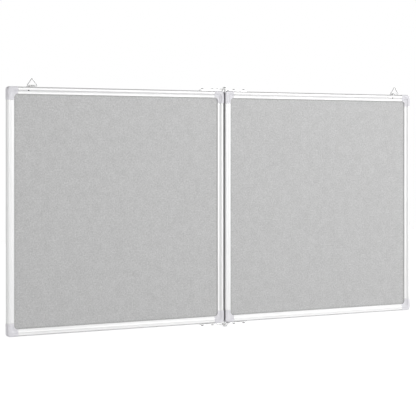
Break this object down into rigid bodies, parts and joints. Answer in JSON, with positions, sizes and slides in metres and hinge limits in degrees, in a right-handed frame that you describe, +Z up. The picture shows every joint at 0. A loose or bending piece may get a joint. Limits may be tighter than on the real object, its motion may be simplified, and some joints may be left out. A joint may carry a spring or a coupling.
{
  "type": "foldable magnetic whiteboard",
  "caption": "Foldable magnetic whiteboard: framed square panels side by side that fold together on cranked edge hinges, with a swinging wire ring on each for hanging.",
  "frame": {"origin": "inside of the left hanging ring's peak, where a wall hook bears", "axes": "+X along the open board from the left panel to the right one, +Y towards the writing side, +Z up"},
  "size_m": [1.2034, 0.0252, 0.631],
  "materials": {
    "frame_aluminium": "satin silver anodised",
    "cap_plastic": "satin light grey, faintly cool",
    "zinc_sheet": "matt zinc coating with a fine mottle",
    "core_board": "plain fibre board",
    "writing_enamel": "glossy white enamel",
    "bright_steel": "bright zinc plate",
    "dark_steel": "black oxide",
    "nylon": "natural nylon"
  },
  "bodies": {
    "left_panel": {"left_top_rail": "frame_aluminium", "left_bottom_rail": "frame_aluminium", "left_outer_stile": "frame_aluminium", "left_inner_stile": "frame_aluminium", "left_top_outer_cap": "cap_plastic", "left_top_inner_cap": "cap_plastic", "left_bottom_outer_cap": "cap_plastic", "left_bottom_inner_cap": "cap_plastic", "left_grey_sheet": "zinc_sheet", "left_core": "core_board", "left_writing_sheet": "writing_enamel", "left_top_hinge_leaf": "bright_steel", "left_top_hinge_inner_screw": "bright_steel", "left_top_hinge_outer_screw": "bright_steel", "left_bottom_hinge_leaf": "bright_steel", "left_bottom_hinge_inner_screw": "bright_steel", "left_bottom_hinge_outer_screw": "bright_steel", "left_hanger_strap": "bright_steel", "left_hanger_lock_screw": "dark_steel", "top_hinge_pin": "bright_steel", "top_hinge_friction_washer": "nylon", "top_hinge_spring_washer": "bright_steel", "bottom_hinge_pin": "bright_steel", "bottom_hinge_friction_washer": "nylon", "bottom_hinge_spring_washer": "bright_steel"},
    "right_panel": {"right_top_rail": "frame_aluminium", "right_bottom_rail": "frame_aluminium", "right_outer_stile": "frame_aluminium", "right_inner_stile": "frame_aluminium", "right_top_outer_cap": "cap_plastic", "right_top_inner_cap": "cap_plastic", "right_bottom_outer_cap": "cap_plastic", "right_bottom_inner_cap": "cap_plastic", "right_grey_sheet": "zinc_sheet", "right_core": "core_board", "right_writing_sheet": "writing_enamel", "right_top_hinge_leaf": "bright_steel", "right_top_hinge_inner_screw": "bright_steel", "right_top_hinge_outer_screw": "bright_steel", "right_bottom_hinge_leaf": "bright_steel", "right_bottom_hinge_inner_screw": "bright_steel", "right_bottom_hinge_outer_screw": "bright_steel", "right_hanger_strap": "bright_steel", "right_hanger_lock_screw": "dark_steel"},
    "left_ring": {"left_hanger_ring": "bright_steel"},
    "right_ring": {"right_hanger_ring": "bright_steel"}
  },
  "joints": [
    {"name": "fold", "type": "hinge", "parent": "left_panel", "child": "right_panel", "pos_m": [0.5354, -0.00875, -0.3186], "axis": [0, 0, -1], "range_deg": [0, 180]},
    {"name": "left_ring_swing", "type": "hinge", "parent": "left_panel", "child": "left_ring", "pos_m": [0, 0, -0.0165], "axis": [1, 0, 0], "range_deg": [-90, 90]},
    {"name": "right_ring_swing", "type": "hinge", "parent": "right_panel", "child": "right_ring", "pos_m": [1.0889, 0, -0.0165], "axis": [1, 0, 0], "range_deg": [-90, 90]}
  ]
}
